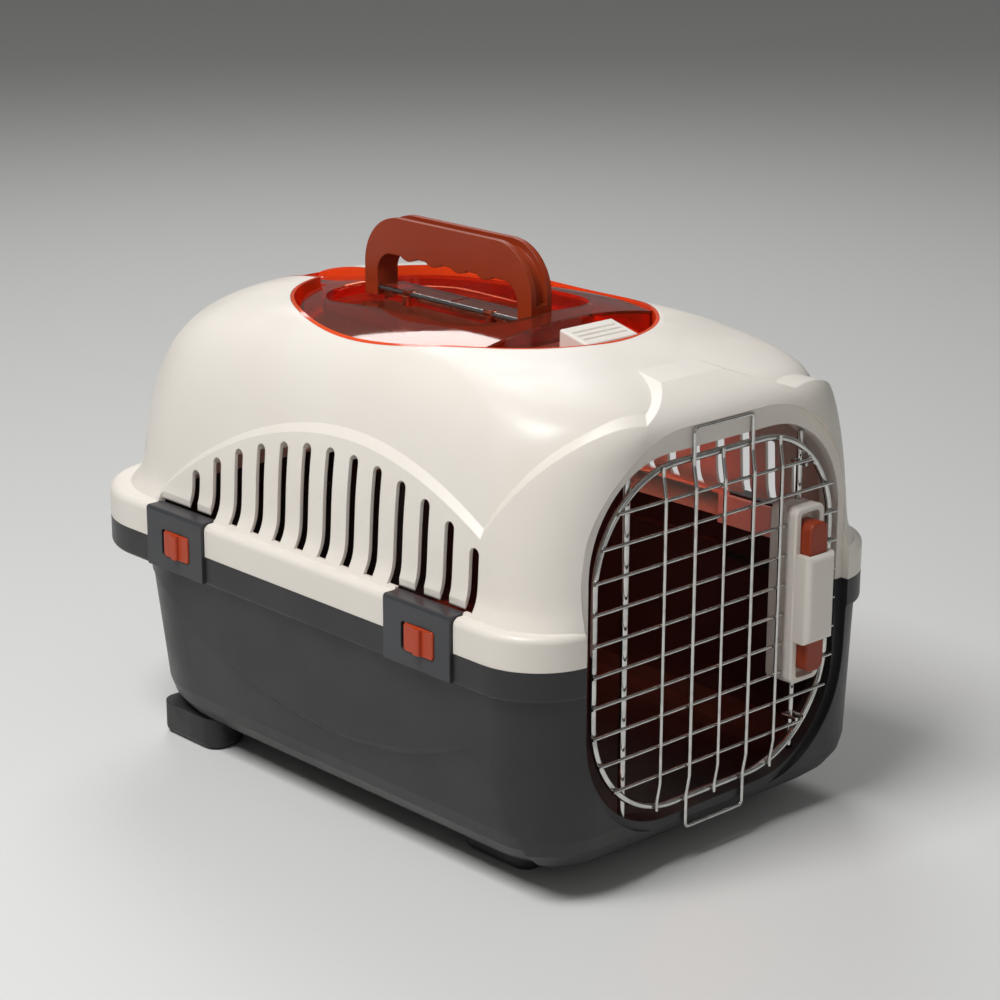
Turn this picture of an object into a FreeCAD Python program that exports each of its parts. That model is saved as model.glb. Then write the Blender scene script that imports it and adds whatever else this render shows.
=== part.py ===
"""Hard pet carrier with a wire door, four side clips, a roof skylight and a folding handle.

Local frame: x across, y back from the front of the shells, z up from the parting plane of the
two shells. Every sub-part is placed from that frame into the frame of the whole carrier, which
stands on its feet with the door towards -y.
"""
import FreeCAD, Part
import math
import os
import re
from FreeCAD import Rotation, Vector

doc = FreeCAD.newDocument("pet_carrier")
sheet = doc.addObject("Spreadsheet::Sheet", "Sizes")

# Driving dimensions in millimetres, grouped by the piece they shape.
SIZES = {
    # place of the local frame
    "frame_back": 221.0,
    # shared by both shells
    "wall": 2.6,
    "flange_half": 160.0,
    "flange_rear": 462.0,
    "rim_front": 4.5,
    "front_round": 45.5,
    "rear_round": 65.0,
    "flange_edge_round": 5.0,
    "tub_edge_round": 3.0,
    "top_flange_height": 22.0,
    "base_flange_height": 20.0,
    "flare_width": 6.0,
    "flare_height": 4.0,
    # dome of the top shell
    "dome_half": 143.0,
    "dome_front": 4.0,
    "dome_middle": 222.0,
    "dome_rear_run": 230.0,
    "dome_rear_round": 71.0,
    "dome_foot": 10.0,
    "dome_top": 162.0,
    "dome_slope_height": 145.5,
    # arch panels, collar and brow tongue of the top shell
    "collar_top": 158.5,
    "collar_foot": 5.0,
    "collar_half": 146.5,
    "collar_slope_height": 143.4,
    "arch_centre": 187.0,
    "arch_crown": 106.5,
    "arch_radius": 307.0,
    "arch_face": 136.0,
    "collar_edge_face": 137.0,
    "collar_edge_front": 25.0,
    "collar_edge_up": 9.0,
    "collar_edge_radius": 111.0,
    "collar_edge_end": 58.0,
    "brow_depth": 12.0,
    "brow_height": 125.0,
    "tongue_peak": 156.0,
    "tongue_foot": 100.0,
    "tongue_half": 92.0,
    "tongue_rear": 62.0,
    "tongue_roof_front": 28.0,
    "tongue_roof_height": 149.7,
    # vent slots
    "slot_first": 63.5,
    "slot_pitch": 22.75,
    "slot_width": 8.2,
    "slot_foot": 24.0,
    "slot_arch_crown": 95.0,
    "slot_arch_radius": 266.0,
    "slot_arch_centre": 190.0,
    # inside of the arch panels
    "pocket_depth": 22.0,
    "pocket_front": 52.0,
    "pocket_rear": 372.0,
    "pocket_height": 90.0,
    # tub
    "tub_half": 154.0,
    "tub_rear": 431.0,
    "tub_rear_round": 75.0,
    "tub_depth": 140.0,
    "tub_round": 28.0,
    "belly_centre": 197.0,
    "belly_drop": 91.5,
    "belly_radius": 324.0,
    "belly_face": 149.0,
    "tub_collar_rear": 62.0,
    "tub_collar_corner": 60.5,
    "tub_collar_waist": 36.0,
    "tub_collar_waist_drop": 84.6,
    "tub_collar_foot": 20.0,
    "foot_height": 15.0,
    "foot_rise": 8.0,
    "foot_length": 62.0,
    "foot_width": 32.0,
    "foot_front": 84.0,
    "foot_front_outer": 112.0,
    "foot_rear": 370.0,
    "foot_rear_outer": 137.0,
    "foot_corner": 12.0,
    "foot_edge": 5.0,
    # door opening, the flat band round it and its throat
    "opening_half": 112.0,
    "opening_top": 115.0,
    "opening_bottom": 119.5,
    "opening_top_round": 66.0,
    "opening_bottom_round": 70.0,
    "band_half": 118.0,
    "band_top": 129.5,
    "band_bottom": 127.0,
    "band_round": 82.0,
    "band_depth": 5.9,
    "throat_depth": 22.0,
    "boss_radius": 5.6,
    "boss_depth": 12.0,
    # wire door
    "door_front": -2.5,
    "wire_radius": 1.15,
    "loop_radius": 1.3,
    "ring_radius": 2.2,
    "ring_half": 105.4,
    "ring_top": 107.6,
    "ring_bottom": 112.2,
    "ring_top_round": 68.0,
    "ring_bottom_round": 72.0,
    "weld_gap": 0.05,
    "wire_past": 1.5,
    "cross_top": 86.8,
    "cross_pitch": 19.5,
    "bar_pitch": 26.0,
    "bar_bend": 17.0,
    "bar_bend_round": 8.0,
    "loop_top": 127.0,
    "loop_bottom": 130.5,
    "loop_corner": 3.0,
    "hinge_x": -75.0,
    "hinge_radius": 2.4,
    "hinge_socket": 4.0,
    "running_gap": 0.05,
    "free_gap": 0.3,
    # door latch, measured from the plane of the cross wires
    "latch_x": 73.6,
    "latch_half": 13.6,
    "latch_mid": 1.3,
    "latch_height": 116.5,
    "latch_front": 8.35,
    "latch_back": 12.65,
    "latch_back_wall": 1.7,
    "latch_round": 5.0,
    "latch_edge_round": 1.5,
    "latch_rim": 3.5,
    "latch_floor": 1.2,
    "bridge_front": 20.05,
    "bridge_half": 29.0,
    "bridge_inset": 0.6,
    "bridge_round": 4.0,
    "room_round": 3.0,
    "button_half": 8.3,
    "button_gap": 0.5,
    "button_front": 16.3,
    "button_inner": 21.0,
    "button_outer": 49.5,
    "button_round": 6.0,
    "button_edge_round": 1.5,
    "bolt_x": 80.0,
    "bolt_radius": 2.0,
    "bolt_travel": 4.0,
    "bolt_end_gap": 1.2,
    "bolt_socket_spare": 1.5,
    "guide_gap": 0.7,
    "guide_bend": 2.5,
    "stem_half_height": 3.5,
    "stem_half_width": 4.0,
    "stem_gap": 0.5,
    "stem_lap": 2.0,
    "spring_radius": 4.0,
    "spring_wire": 0.8,
    "spring_front": 9.35,
    # side clips, measured in from the flange
    "clip_front": 96.9,
    "clip_rear": 341.3,
    "clip_half": 30.25,
    "clip_side_gap": 0.6,
    "clip_bottom": 18.5,
    "clip_top": 22.8,
    "clip_proud": 2.2,
    "clip_wall": 3.0,
    "clip_strip": 2.8,
    "clip_strip_depth": 11.0,
    "clip_strip_gap": 0.5,
    "clip_edge_round": 2.4,
    "clip_block_half": 38.0,
    "clip_block_depth": 14.0,
    "clip_recess_depth": 6.2,
    "clip_pin_depth": 3.0,
    "clip_pin_drop": 16.0,
    "clip_pin_radius": 1.25,
    "clip_pin_inset": 3.0,
    "clip_barrel": 2.7,
    "clip_foot": 3.0,
    "window_round": 2.4,
    "knob_offset": -2.8,
    "knob_half": 13.3,
    "knob_low": 8.5,
    "knob_high": 9.5,
    "knob_proud": 1.0,
    "knob_travel": 3.0,
    "knob_corner": 2.2,
    "knob_edge_round": 0.8,
    "ridge_half": 3.2,
    "ridge_proud": 3.4,
    "ridge_round": 1.5,
    "lock_layer": 1.3,
    "lock_plate_past": 3.0,
    "lock_tongue_half": 5.0,
    "lock_tongue_past": 1.7,
    "keeper_low": 2.0,
    "keeper_high": 10.0,
    "keeper_length": 6.2,
    "keeper_post": 2.5,
    "keeper_start": 2.3,
    # skylight
    "sky_centre": 225.0,
    "sky_half": 106.0,
    "sky_front": 137.0,
    "sky_rear": 137.0,
    "sky_channel_half": 23.0,
    "sky_channel_rear": 412.0,
    "frame_floor": 137.0,
    "frame_wall": 2.5,
    "frame_ledge": 11.0,
    "frame_seat": 0.15,
    "tray_gap": 2.0,
    "lid_gap": 0.6,
    "lid_swing_room": 6.0,
    "lid_wall": 2.4,
    "lid_front": 132.0,
    "lid_rear": 350.0,
    "lid_top": 168.5,
    "lid_top_y": 185.0,
    "lid_side_radius": 384.0,
    "lid_long_radius": 1145.0,
    "lid_pin_y": 402.0,
    "lid_pin_z": 144.1,
    "lid_pin_radius": 1.5,
    "lid_barrel": 4.1,
    "lid_tongue_lap": 4.0,
    "dish_front": 151.0,
    "dish_rear": 331.0,
    "dish_half": 58.0,
    "dish_round": 40.0,
    "dish_floor": 148.0,
    "pad_top": 160.0,
    "pad_right": 13.0,
    "pad_gap": 2.7,
    "pad_leg_gap": 0.6,
    "pad_sink": 0.5,
    "pad_groove": 1.2,
    "pad_groove_half": 1.0,
    "ear_half": 3.0,
    "ear_inset": 42.0,
    # handle
    "handle_front": 159.0,
    "handle_rear": 323.0,
    "handle_half": 9.0,
    "handle_low": 153.5,
    "handle_top": 209.0,
    "handle_leg": 13.0,
    "grip_low": 184.0,
    "handle_round": 34.0,
    "handle_inner_round": 14.0,
    "handle_groove_half": 4.6,
    "handle_groove": 4.5,
    "groove_foot": 12.0,
    "finger_radius": 12.0,
    "finger_drop": 2.6,
    "finger_pitch": 25.0,
    "rod_x": -6.2,
    "rod_z": 158.5,
    "rod_radius": 2.0,
    "rod_inset": 5.0,
    # skylight catch
    "catch_half": 23.0,
    "catch_front": 94.5,
    "catch_rear": 119.5,
    "catch_top": 166.0,
    "catch_fall": 6.0,
    "catch_round": 1.5,
    "catch_travel": 8.0,
    "catch_nose": 11.5,
    "catch_nose_half": 14.0,
    "catch_nose_low": 146.0,
    "catch_nose_height": 3.0,
    "catch_nose_lap": 2.0,
    "catch_nose_gap": 0.6,
    "catch_window_side": 1.0,
    "catch_stem_half": 7.6,
    "catch_stem_start": 9.0,
    "catch_stem_length": 8.0,
    "catch_stem_lap": 1.0,
    "catch_slot_gap": 0.5,
    "catch_plate_half": 12.0,
    "catch_plate_past": 2.0,
    "catch_plate_drop": 3.0,
    "grip_line_radius": 1.0,
    "grip_line_lift": 0.3,
    "grip_line_inset": 4.0,
}


class Named:
    """The sheet's numbers as attributes, for shapes that are set in code."""


S = Named()


def fill_sheet():
    """Write each size to the sheet with its alias."""
    for row, (alias, value) in enumerate(SIZES.items(), start=1):
        sheet.set(f"A{row}", alias)
        sheet.set(f"B{row}", str(value))
        sheet.setAlias(f"B{row}", alias)
    doc.recompute()
    for alias in SIZES:
        setattr(S, alias, float(sheet.get(alias)))


def bound(text):
    """An expression in which each alias refers to the sheet."""
    return re.sub(r"[a-z_]+[a-z]", lambda word: "Sizes." + word[0] if word[0] in SIZES else word[0], text)


def bind(item, **fields):
    """Bind properties of a document object to expressions in the sheet's aliases."""
    for field, text in fields.items():
        item.setExpression(field.replace("__", "."), bound(str(text)))


def place(item, x="0", y="0", z="0"):
    """Bind an object's position."""
    bind(item, Placement__Base__x=x, Placement__Base__y=y, Placement__Base__z=z)


def box(name, x, y, z):
    """A box whose three (low, high) pairs are expressions."""
    item = doc.addObject("Part::Box", name)
    spans = [f"({high}) - ({low})" for low, high in (x, y, z)]
    bind(item, Length=spans[0], Width=spans[1], Height=spans[2])
    place(item, x[0], y[0], z[0])
    return item


AXES = {
    "x": Rotation(Vector(0, 1, 0), 90),
    "y": Rotation(Vector(1, 0, 0), -90),
    "z": Rotation(),
}


def rod(name, radius, axis, start, length):
    """A round bar along one axis from a start point; all sizes are expressions."""
    item = doc.addObject("Part::Cylinder", name)
    item.Placement.Rotation = AXES[axis]
    bind(item, Radius=radius, Height=length)
    place(item, *start)
    return item


def fuse(name, items):
    """One solid from several."""
    item = doc.addObject("Part::MultiFuse", name)
    item.Shapes = items
    item.Refine = True
    return item


def cut(name, base, tools):
    """A base with its tools taken out."""
    item = doc.addObject("Part::Cut", name)
    item.Base = base
    item.Tool = tools[0] if len(tools) == 1 else fuse(name + "_tools", tools)
    return item


def common(name, first, second):
    """The shared part of two objects."""
    item = doc.addObject("Part::Common", name)
    item.Base = first
    item.Tool = second
    return item


def group(name, items):
    """Separate solids that share one node."""
    item = doc.addObject("Part::Compound", name)
    item.Links = items
    return item


def fillet(name, base, radius, wanted):
    """Round the edges of a base that a test picks by their middle and direction."""
    doc.recompute()
    item = doc.addObject("Part::Fillet", name)
    item.Base = base
    picks = []
    for index, edge in enumerate(base.Shape.Edges, start=1):
        middle = edge.valueAt((edge.FirstParameter + edge.LastParameter) / 2)
        along = edge.tangentAt(edge.FirstParameter)
        if wanted(middle, along):
            picks.append((index, radius, radius))
    item.Edges = picks
    return item


def near(first, second):
    """True where two lengths agree."""
    return abs(first - second) < 0.01


PARTS = []


def publish(label, item):
    """Name a finished sub-part and place it in the carrier's own frame."""
    if item.TypeId == "Part::Cylinder":
        item = group(label + "_bar", [item])
    item.Label = label
    place(item, "0", "-frame_back", "tub_depth + foot_height")
    PARTS.append(item)


def publish_shape(label, shape):
    """A sub-part whose shape is made in code."""
    item = doc.addObject("Part::Feature", label + "_body")
    item.Shape = shape
    publish(label, item)


# Outlines and solids shared by the moulded shells. FAR lies past every piece of the carrier.
DIAGONAL = math.sqrt(0.5)
FAR = 900.0
SIDES = (-1, 1)
ACROSS = Vector(1, 0, 0)
BACK = Vector(0, 1, 0)


def rounded_wire(half, front, rear, front_round, rear_round, at):
    """A rounded rectangle, symmetric about x = 0; `at` turns (x, y) into a point."""
    points = [
        (-half, rear - rear_round), (-half, front + front_round),
        (-half + front_round, front), (half - front_round, front),
        (half, front + front_round), (half, rear - rear_round),
        (half - rear_round, rear), (-half + rear_round, rear),
    ]
    corners = [
        (-1, -1, front_round, front + front_round), (1, -1, front_round, front + front_round),
        (1, 1, rear_round, rear - rear_round), (-1, 1, rear_round, rear - rear_round),
    ]
    edges = []
    for index, (side, end, radius, centre) in enumerate(corners):
        start = points[2 * index]
        stop = points[2 * index + 1]
        after = points[(2 * index + 2) % 8]
        edges.append(Part.LineSegment(at(*start), at(*stop)).toShape())
        middle = at(side * (half - radius + radius * DIAGONAL), centre + end * radius * DIAGONAL)
        edges.append(Part.Arc(at(*stop), middle, at(*after)).toShape())
    return Part.Wire(edges)


def plan(z, half, front, rear, front_round, rear_round):
    """A rounded rectangle lying at height z."""
    return rounded_wire(half, front, rear, front_round, rear_round, lambda x, y: Vector(x, y, z))


def prism(wire, direction):
    """A solid from a flat closed wire."""
    return Part.Face(wire).extrude(direction)


def slab(x, y, z):
    """A plain box from three (low, high) pairs of numbers."""
    corner = Vector(x[0], y[0], z[0])
    return Part.makeBox(x[1] - x[0], y[1] - y[0], z[1] - z[0], corner)


def span(sign, inner, outer):
    """A (low, high) pair across x on the left or right side."""
    return (sign * inner, sign * outer) if sign > 0 else (sign * outer, sign * inner)


def soft_ramp(height, knee, blend):
    """Rises from nothing to a straight ramp around the knee."""
    return blend * math.log(1 + math.exp((height - knee) / blend))


def shoulder(rise, start, power):
    """Share of the foot width that is left at a share of the height."""
    return (1 - rise ** start) ** (1 / power)


FLARE_LIMIT = 1.5


def foot_flare(z):
    """How far a wall of the top shell spreads where it runs into the flange."""
    fall = math.exp((z - S.top_flange_height) / S.flare_height)
    return FLARE_LIMIT * S.flare_width / (1 + (FLARE_LIMIT - 1) * fall)


LAST_RISE = 0.99
LOFT_STEPS = 26
FINE_STEPS = 800
FLARE_STEPS = (-2, -1, 0, 1, 2, 3, 4.5)


def levels(foot, height, half, start, power):
    """Heights of a loft's sections: close together on the flare, then even along the shoulder."""
    rises = [LAST_RISE * step / FINE_STEPS for step in range(FINE_STEPS + 1)]
    lengths = [0.0]
    for low, high in zip(rises, rises[1:]):
        inward = half * (shoulder(low, start, power) - shoulder(high, start, power))
        lengths.append(lengths[-1] + math.hypot(inward, height * (high - low)))
    chosen = [S.top_flange_height + S.flare_height * step for step in FLARE_STEPS]
    clear = chosen[-1] + 2 * S.flare_height
    for step in range(LOFT_STEPS + 1):
        goal = lengths[-1] * step / LOFT_STEPS
        z = foot + height * next(rise for rise, run in zip(rises, lengths) if run >= goal - 1e-9)
        if z > clear:
            chosen.append(z)
    return [foot] + chosen


DOME_START = 2.4
DOME_POWER = 7
DOME_REAR_START = 3.87
DOME_REAR_POWER = 6.05
DOME_FRONT_RUN = 5.7
DOME_BLEND = 5
DOME_FRONT_GROWTH = 25
DOME_REAR_GROWTH = 27
WIDEST_ROUND = 0.95


def dome(inset):
    """The rounded roof body, drawn in all round by the inset."""
    height = S.dome_top - S.dome_foot - inset
    wires = []
    for z in levels(S.dome_foot, height, S.dome_half, DOME_START, DOME_POWER):
        rise = (z - S.dome_foot) / height
        half = (S.dome_half - inset) * shoulder(rise, DOME_START, DOME_POWER) + foot_flare(z)
        rear_run = (S.dome_rear_run - inset) * shoulder(rise, DOME_REAR_START, DOME_REAR_POWER)
        ramp = DOME_FRONT_RUN * soft_ramp(z + inset, S.dome_slope_height, DOME_BLEND)
        front = S.dome_front + inset + ramp
        rear = S.dome_middle + rear_run + foot_flare(z)
        front_round = S.front_round + DOME_FRONT_GROWTH * rise
        rear_round = min(S.dome_rear_round + DOME_REAR_GROWTH * rise, WIDEST_ROUND * half)
        wires.append(plan(z, half, front, rear, front_round, rear_round))
    return Part.makeLoft(wires, True, False)


COLLAR_START = 2.6
COLLAR_POWER = 8
COLLAR_RUN = 4
COLLAR_BLEND = 6
COLLAR_FRONT_GROWTH = 20


def panel_half(z):
    """Half width of the arch panels' outer face at a height."""
    rise = (z - S.collar_foot) / (S.collar_top - S.collar_foot)
    return S.collar_half * shoulder(rise, COLLAR_START, COLLAR_POWER) + foot_flare(z)


def collar_body():
    """The boxier body that the arch panels, collar and brow are cut from."""
    height = S.collar_top - S.collar_foot
    wires = []
    for z in levels(S.collar_foot, height, S.collar_half, COLLAR_START, COLLAR_POWER):
        rise = (z - S.collar_foot) / height
        rear_run = S.dome_rear_run * shoulder(rise, COLLAR_START, COLLAR_POWER)
        front = COLLAR_RUN * soft_ramp(z, S.collar_slope_height, COLLAR_BLEND) - S.rim_front
        front_round = S.front_round + COLLAR_FRONT_GROWTH * rise
        wires.append(plan(z, panel_half(z), front, S.dome_middle + rear_run, front_round, S.rear_round))
    return Part.makeLoft(wires, True, False)


LEDGE_INNER = 9.0
LEDGE_OUTER = 30.0


def tapered_drum(centre, radius, face):
    """A drum across the width whose radius is true at |x| = face and shrinks 1:1 outside it."""
    inner = face - LEDGE_INNER
    middle = radius + LEDGE_INNER
    start = Vector(-inner, *centre)
    drum = Part.makeCylinder(middle, 2 * inner, start, ACROSS)
    length = LEDGE_INNER + LEDGE_OUTER
    right = Part.makeCone(middle, radius - LEDGE_OUTER, length, Vector(inner, *centre), ACROSS)
    left = Part.makeCone(middle, radius - LEDGE_OUTER, length, start, -ACROSS)
    return drum.fuse([right, left])


COLLAR_LEAN = Vector(1, 1, 0.35)
TONGUE_CLIMB = 0.085
TONGUE_SIDE = 0.307
TONGUE_FRONT = 6.0
TONGUE_ROOF_CLIMB = 0.125


def collar_drum():
    """The space in front of the collar's edge on the left: a drum that leans inward and back."""
    centre = Vector(-S.collar_edge_face, -S.collar_edge_front, S.collar_edge_up)
    outside = S.collar_half - S.collar_edge_face + LEDGE_OUTER
    start = centre - COLLAR_LEAN * outside
    disc = Part.Face(Part.Wire(Part.makeCircle(S.collar_edge_radius, start, ACROSS)))
    return disc.extrude(COLLAR_LEAN * (outside + S.collar_edge_face - S.collar_edge_end))


def brow_tongue():
    """The raised panel on the brow, a low gable whose roof runs out into the dome."""
    front = -S.rim_front - S.brow_depth
    drop = TONGUE_CLIMB * (TONGUE_FRONT - front)
    eave = S.tongue_peak - TONGUE_SIDE * S.tongue_half
    gable = [
        (-S.tongue_half, eave), (0, S.tongue_peak), (S.tongue_half, eave),
        (S.tongue_half, S.tongue_foot), (-S.tongue_half, S.tongue_foot),
    ]
    corners = [Vector(x, front, z - drop) for x, z in gable]
    length = S.tongue_rear - front
    roof = prism(Part.makePolygon(corners + corners[:1]), Vector(0, length, length * TONGUE_CLIMB))
    low = S.tongue_roof_height
    high = low + TONGUE_ROOF_CLIMB * (S.tongue_rear - S.tongue_roof_front)
    side = [
        (front, S.tongue_foot), (S.tongue_rear, S.tongue_foot), (S.tongue_rear, high),
        (S.tongue_roof_front, low), (front, low),
    ]
    outline = [Vector(-S.tongue_half, y, z) for y, z in side]
    return roof.common(prism(Part.makePolygon(outline + outline[:1]), ACROSS * (2 * S.tongue_half)))


def top_wave():
    """What stands proud on the top shell: below the arch, in front of the collar, and the tongue."""
    arch_centre = (S.arch_centre, S.arch_crown - S.arch_radius)
    arch = tapered_drum(arch_centre, S.arch_radius, S.arch_face)
    arch = arch.common(slab((-FAR, FAR), (-FAR, FAR), (0, FAR)))
    left = collar_drum()
    right = left.mirror(Vector(), ACROSS)
    half = S.collar_half
    brow = slab((-half, half), (-S.rim_front - S.brow_depth, S.brow_depth), (0, S.brow_height))
    return arch.fuse([left, right, brow, brow_tongue()])


def flange(inset, front, low, high):
    """The rim block where the two shells meet, drawn in at the sides and rear by the inset."""
    wire = plan(
        low, S.flange_half - inset, front, S.flange_rear - inset,
        S.front_round - inset, S.rear_round - inset,
    )
    return prism(wire, Vector(0, 0, high - low))


def round_flange(solid, height, radius):
    """Round the outer edge of a flange at one height."""
    edges = [
        edge for edge in solid.Edges
        if near(edge.BoundBox.ZMin, height) and near(edge.BoundBox.ZMax, height)
    ]
    return solid.makeFillet(radius, edges)


# Door opening.
def band_y():
    """Face of the flat band round the opening, sunk into the front."""
    return S.band_depth - S.rim_front


def cavity_front():
    """Front of the hollow behind the band."""
    return band_y() + S.wall


def throat_rear():
    """Rear end of the throat wall."""
    return S.throat_depth - S.rim_front


def opening_prism(grow, front, rear):
    """The door opening run through the front, made larger all round by grow."""
    wire = rounded_wire(
        S.opening_half + grow, -S.opening_bottom - grow, S.opening_top + grow,
        S.opening_bottom_round + grow, S.opening_top_round + grow, lambda x, z: Vector(x, front, z),
    )
    return prism(wire, Vector(0, rear - front, 0))


def band_prism():
    """The space in front of the flat band."""
    wire = rounded_wire(
        S.band_half, -S.band_bottom, S.band_top, S.band_round, S.band_round,
        lambda x, z: Vector(x, band_y(), z),
    )
    return prism(wire, Vector(0, -S.band_depth - S.brow_depth, 0))


def rounded_edge(x, half, end, radius):
    """Distance from the middle to a rounded rectangle's end at x."""
    past = max(abs(x) - (half - radius), 0)
    return end - radius + math.sqrt(radius ** 2 - past ** 2)


def opening_edge(x, upper):
    """Height of the door opening's edge at x, at its top or its bottom."""
    if upper:
        return rounded_edge(x, S.opening_half, S.opening_top, S.opening_top_round)
    return -rounded_edge(x, S.opening_half, S.opening_bottom, S.opening_bottom_round)


def cross_y():
    """Plane of the cross wires, behind the uprights."""
    return S.door_front + 2 * S.wire_radius + S.weld_gap


def ring_y():
    """Plane of the ring, behind the cross wires."""
    return cross_y() + S.wire_radius + S.ring_radius + S.weld_gap


def hinge_y():
    """Plane of the hinge rod and the bolts, behind the ring."""
    return ring_y() + S.ring_radius + S.hinge_radius + S.weld_gap


# The same places as expressions, for objects that are bound to the sheet.
CROSS_Y = "door_front + 2 * wire_radius + weld_gap"
HINGE_Y = "door_front + 3 * wire_radius + 2 * ring_radius + hinge_radius + 3 * weld_gap"


def boss(x, upper):
    """A round boss behind the throat wall that holds a rod's end."""
    edge = opening_edge(x, upper)
    low = edge - S.wall if upper else edge - S.boss_depth
    return Part.makeCylinder(S.boss_radius, S.boss_depth + S.wall, Vector(x, hinge_y(), low))


def socket(x, radius, upper, depth):
    """The hole in a boss, sunk a given depth past the opening's edge."""
    edge = opening_edge(x, upper)
    low = edge - S.boss_depth if upper else edge - depth
    return Part.makeCylinder(radius, S.boss_depth + depth, Vector(x, hinge_y(), low))


def front_frame(outer, upper):
    """Throat wall round the opening with its bosses, kept inside the outer shape."""
    front = -S.rim_front
    rear = throat_rear()
    pieces = opening_prism(S.wall, front, rear).cut(opening_prism(0, front - 1, rear + 1))
    for x in (S.hinge_x, S.bolt_x):
        pieces = pieces.fuse(boss(x, upper))
    height = (0, FAR) if upper else (-FAR, 0)
    half = slab((-FAR, FAR), (-FAR, FAR), height)
    return pieces.common(half).common(outer)


def cut_front(shell, upper):
    """Open the door hole, sink the band and bore the sockets."""
    hinge_depth = S.hinge_socket + S.free_gap
    bolt_depth = S.bolt_travel + S.bolt_socket_spare
    tools = [
        opening_prism(0, -S.rim_front - S.brow_depth, throat_rear() + 1),
        socket(S.hinge_x, S.hinge_radius + S.running_gap, upper, hinge_depth),
        socket(S.bolt_x, S.bolt_radius + S.free_gap, upper, bolt_depth),
        band_prism(),
    ]
    return shell.cut(tools)


# Side clips' places, shared by the shells.
def clip_places():
    """Side and place of each of the four clips, with a name for each."""
    ends = (("front", S.clip_front), ("rear", S.clip_rear))
    sides = (("left", -1), ("right", 1))
    return [(f"{side}_{end}", sign, y) for side, sign in sides for end, y in ends]


def clip_behind():
    """Inner face of a clip's plate, with the knob's running gap."""
    return S.flange_half + S.clip_proud - S.clip_wall - S.free_gap


def clip_blocks(low, high):
    """Solid blocks in the flange that carry the clips."""
    outer = S.flange_half - S.wall / 2
    half = S.clip_block_half
    return [
        slab(span(sign, S.flange_half - S.clip_block_depth, outer), (y - half, y + half), (low, high))
        for _, sign, y in clip_places()
    ]


def clip_recesses(low, high):
    """Room for the clips in the flange."""
    half = S.clip_half + S.clip_side_gap
    inner = S.flange_half - S.clip_recess_depth
    outer = S.flange_half + S.clip_block_depth
    return [slab(span(sign, inner, outer), (y - half, y + half), (low, high)) for _, sign, y in clip_places()]


def strip_recesses():
    """Room for the clips' hooked tops on the flange."""
    half = S.clip_half + S.clip_side_gap
    inner = S.flange_half - S.clip_strip_depth - S.clip_strip_gap
    outer = S.flange_half + S.clip_block_depth
    height = (S.clip_top - S.clip_strip - S.free_gap, S.clip_top + S.clip_block_depth)
    return [slab(span(sign, inner, outer), (y - half, y + half), height) for _, sign, y in clip_places()]


def keeper(sign, y):
    """The hooked lug on the flange that a clip's knob slides under."""
    outer = clip_behind() - S.free_gap
    inner = clip_behind() - S.lock_layer
    start = y + S.knob_offset + S.knob_half + S.keeper_start
    end = start + S.keeper_length
    height = (S.keeper_low, S.keeper_high)
    lip = slab(span(sign, inner, outer), (start, end), height)
    root = S.flange_half - S.clip_recess_depth - 1
    return lip.fuse(slab(span(sign, root, outer), (end - S.keeper_post, end), height))


# Vent slots and roof opening.
SLOT_COUNT = 13


def slot_tops():
    """Place and height of each vent slot under the arch."""
    tops = []
    for index in range(SLOT_COUNT):
        y = S.slot_first + index * S.slot_pitch
        run = math.sqrt(S.slot_arch_radius ** 2 - (y - S.slot_arch_centre) ** 2)
        tops.append((y, S.slot_arch_crown - S.slot_arch_radius + run))
    return tops


def slot_cutters():
    """Vent slots through both arch panels, round at the top and square at the foot."""
    cutters = []
    radius = S.slot_width / 2
    inner = S.arch_face - S.pocket_depth
    outer = S.collar_half + 2 * S.flare_width
    for sign in SIDES:
        low, high = span(sign, inner, outer)
        for y, top in slot_tops():
            cutters.append(slab((low, high), (y - radius, y + radius), (S.slot_foot, top - radius)))
            start = Vector(low, y, top - radius)
            cutters.append(Part.makeCylinder(radius, outer - inner, start, ACROSS))
    return cutters


def sky_wire(inset, z):
    """Outline of the roof opening, a long egg, drawn in by the inset."""
    half = S.sky_half - inset
    centre = Vector(0, S.sky_centre, z)
    left = Vector(-half, S.sky_centre, z)
    right = Vector(half, S.sky_centre, z)
    edges = []
    for sign, reach in ((-1, S.sky_front - inset), (1, S.sky_rear - inset)):
        end = Vector(0, S.sky_centre + sign * reach, z)
        major, minor = (end, right) if reach > half else (right, end)
        oval = Part.Ellipse(major, minor, centre)
        first, last = (oval.parameter(point) for point in (left, right))
        arc = Part.ArcOfEllipse(oval, first, last)
        if arc.toShape().distToShape(Part.Vertex(end))[0] > 0.1:
            arc = Part.ArcOfEllipse(oval, last, first)
        edges.append(arc.toShape())
    return Part.Wire(Part.__sortEdges__(edges))


def sky_prism(inset, low, high):
    """The roof opening as a solid between two heights."""
    return prism(sky_wire(inset, low), Vector(0, 0, high - low))


def sky_channel(inset, low, high):
    """The hinge channel behind the roof opening."""
    half = S.sky_channel_half - inset
    return slab((-half, half), (S.sky_centre, S.sky_channel_rear - inset), (low, high))


POCKET_LOW_STEPS = 5
POCKET_HIGH_STEPS = 6


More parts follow.
